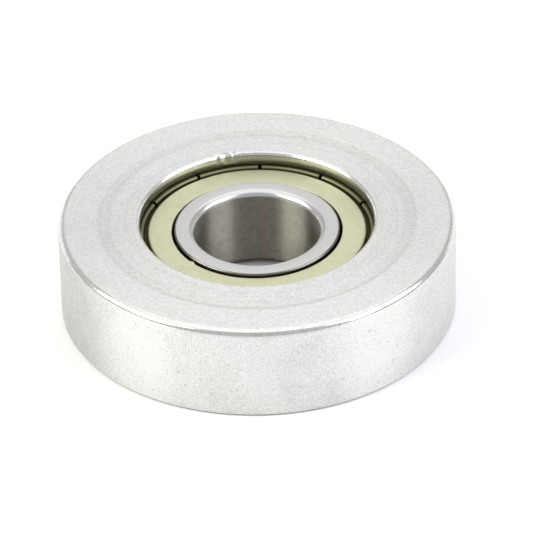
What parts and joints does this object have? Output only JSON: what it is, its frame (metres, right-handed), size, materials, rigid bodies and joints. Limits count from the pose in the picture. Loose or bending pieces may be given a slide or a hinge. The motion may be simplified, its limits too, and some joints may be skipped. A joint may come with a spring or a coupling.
{
  "type": "yoke-type cam follower",
  "caption": "Lipped aluminium roller tyre pressed over a shielded deep-groove ball bearing, bored for a fixed stud or pin.",
  "frame": {"origin": "centre of the tyre's rear face, which is the lowest face when the roller lies with its lipped face up", "axes": "+Z along the bearing's axis, out of the tyre's lipped face; +X and +Y across the roller"},
  "size_m": [0.0508, 0.0508, 0.0127],
  "materials": {
    "tyre_aluminium": "turned and tumbled, satin",
    "ring_steel": "ground faces, honed bore",
    "shield_zinc": "satin zinc plate with a pale yellow-green cast",
    "cage_steel": "pressed sheet, dull",
    "ball_steel": "polished"
  },
  "bodies": {
    "mount_ring": {"inner_ring": "ring_steel"},
    "roller": {"tyre": "tyre_aluminium", "outer_ring": "ring_steel", "shield_upper": "shield_zinc", "shield_lower": "shield_zinc"},
    "cage": {"cage_upper": "cage_steel", "cage_lower": "cage_steel", "cage_rivet_1": "cage_steel", "cage_rivet_2": "cage_steel", "cage_rivet_3": "cage_steel", "cage_rivet_4": "cage_steel", "cage_rivet_5": "cage_steel", "cage_rivet_6": "cage_steel", "cage_rivet_7": "cage_steel", "cage_rivet_8": "cage_steel"},
    "ball_1_body": {"ball_1": "ball_steel"},
    "ball_2_body": {"ball_2": "ball_steel"},
    "ball_3_body": {"ball_3": "ball_steel"},
    "ball_4_body": {"ball_4": "ball_steel"},
    "ball_5_body": {"ball_5": "ball_steel"},
    "ball_6_body": {"ball_6": "ball_steel"},
    "ball_7_body": {"ball_7": "ball_steel"},
    "ball_8_body": {"ball_8": "ball_steel"}
  },
  "joints": [
    {"name": "tyre_spin", "type": "hinge", "parent": "mount_ring", "child": "roller", "pos_m": [0, 0, 0.0057], "axis": [0, 0, 1], "continuous": true},
    {"name": "cage_spin", "type": "hinge", "parent": "mount_ring", "child": "cage", "pos_m": [0, 0, 0.0057], "axis": [0, 0, 1], "continuous": true},
    {"name": "ball_1_spin", "type": "hinge", "parent": "cage", "child": "ball_1_body", "pos_m": [0.0125, 0, 0.0057], "axis": [0, 0, 1], "continuous": true},
    {"name": "ball_2_spin", "type": "hinge", "parent": "cage", "child": "ball_2_body", "pos_m": [0.00884, 0.00884, 0.0057], "axis": [0, 0, 1], "continuous": true},
    {"name": "ball_3_spin", "type": "hinge", "parent": "cage", "child": "ball_3_body", "pos_m": [0, 0.0125, 0.0057], "axis": [0, 0, 1], "continuous": true},
    {"name": "ball_4_spin", "type": "hinge", "parent": "cage", "child": "ball_4_body", "pos_m": [-0.00884, 0.00884, 0.0057], "axis": [0, 0, 1], "continuous": true},
    {"name": "ball_5_spin", "type": "hinge", "parent": "cage", "child": "ball_5_body", "pos_m": [-0.0125, 0, 0.0057], "axis": [0, 0, 1], "continuous": true},
    {"name": "ball_6_spin", "type": "hinge", "parent": "cage", "child": "ball_6_body", "pos_m": [-0.00884, -0.00884, 0.0057], "axis": [0, 0, 1], "continuous": true},
    {"name": "ball_7_spin", "type": "hinge", "parent": "cage", "child": "ball_7_body", "pos_m": [0, -0.0125, 0.0057], "axis": [0, 0, 1], "continuous": true},
    {"name": "ball_8_spin", "type": "hinge", "parent": "cage", "child": "ball_8_body", "pos_m": [0.00884, -0.00884, 0.0057], "axis": [0, 0, 1], "continuous": true}
  ],
  "couplings": [
    {"joint": "cage_spin", "follows": "tyre_spin", "ratio": 0.61906},
    {"joint": "ball_1_spin", "follows": "tyre_spin", "ratio": 1.9807},
    {"joint": "ball_2_spin", "follows": "tyre_spin", "ratio": 1.9807},
    {"joint": "ball_3_spin", "follows": "tyre_spin", "ratio": 1.9807},
    {"joint": "ball_4_spin", "follows": "tyre_spin", "ratio": 1.9807},
    {"joint": "ball_5_spin", "follows": "tyre_spin", "ratio": 1.9807},
    {"joint": "ball_6_spin", "follows": "tyre_spin", "ratio": 1.9807},
    {"joint": "ball_7_spin", "follows": "tyre_spin", "ratio": 1.9807},
    {"joint": "ball_8_spin", "follows": "tyre_spin", "ratio": 1.9807}
  ]
}
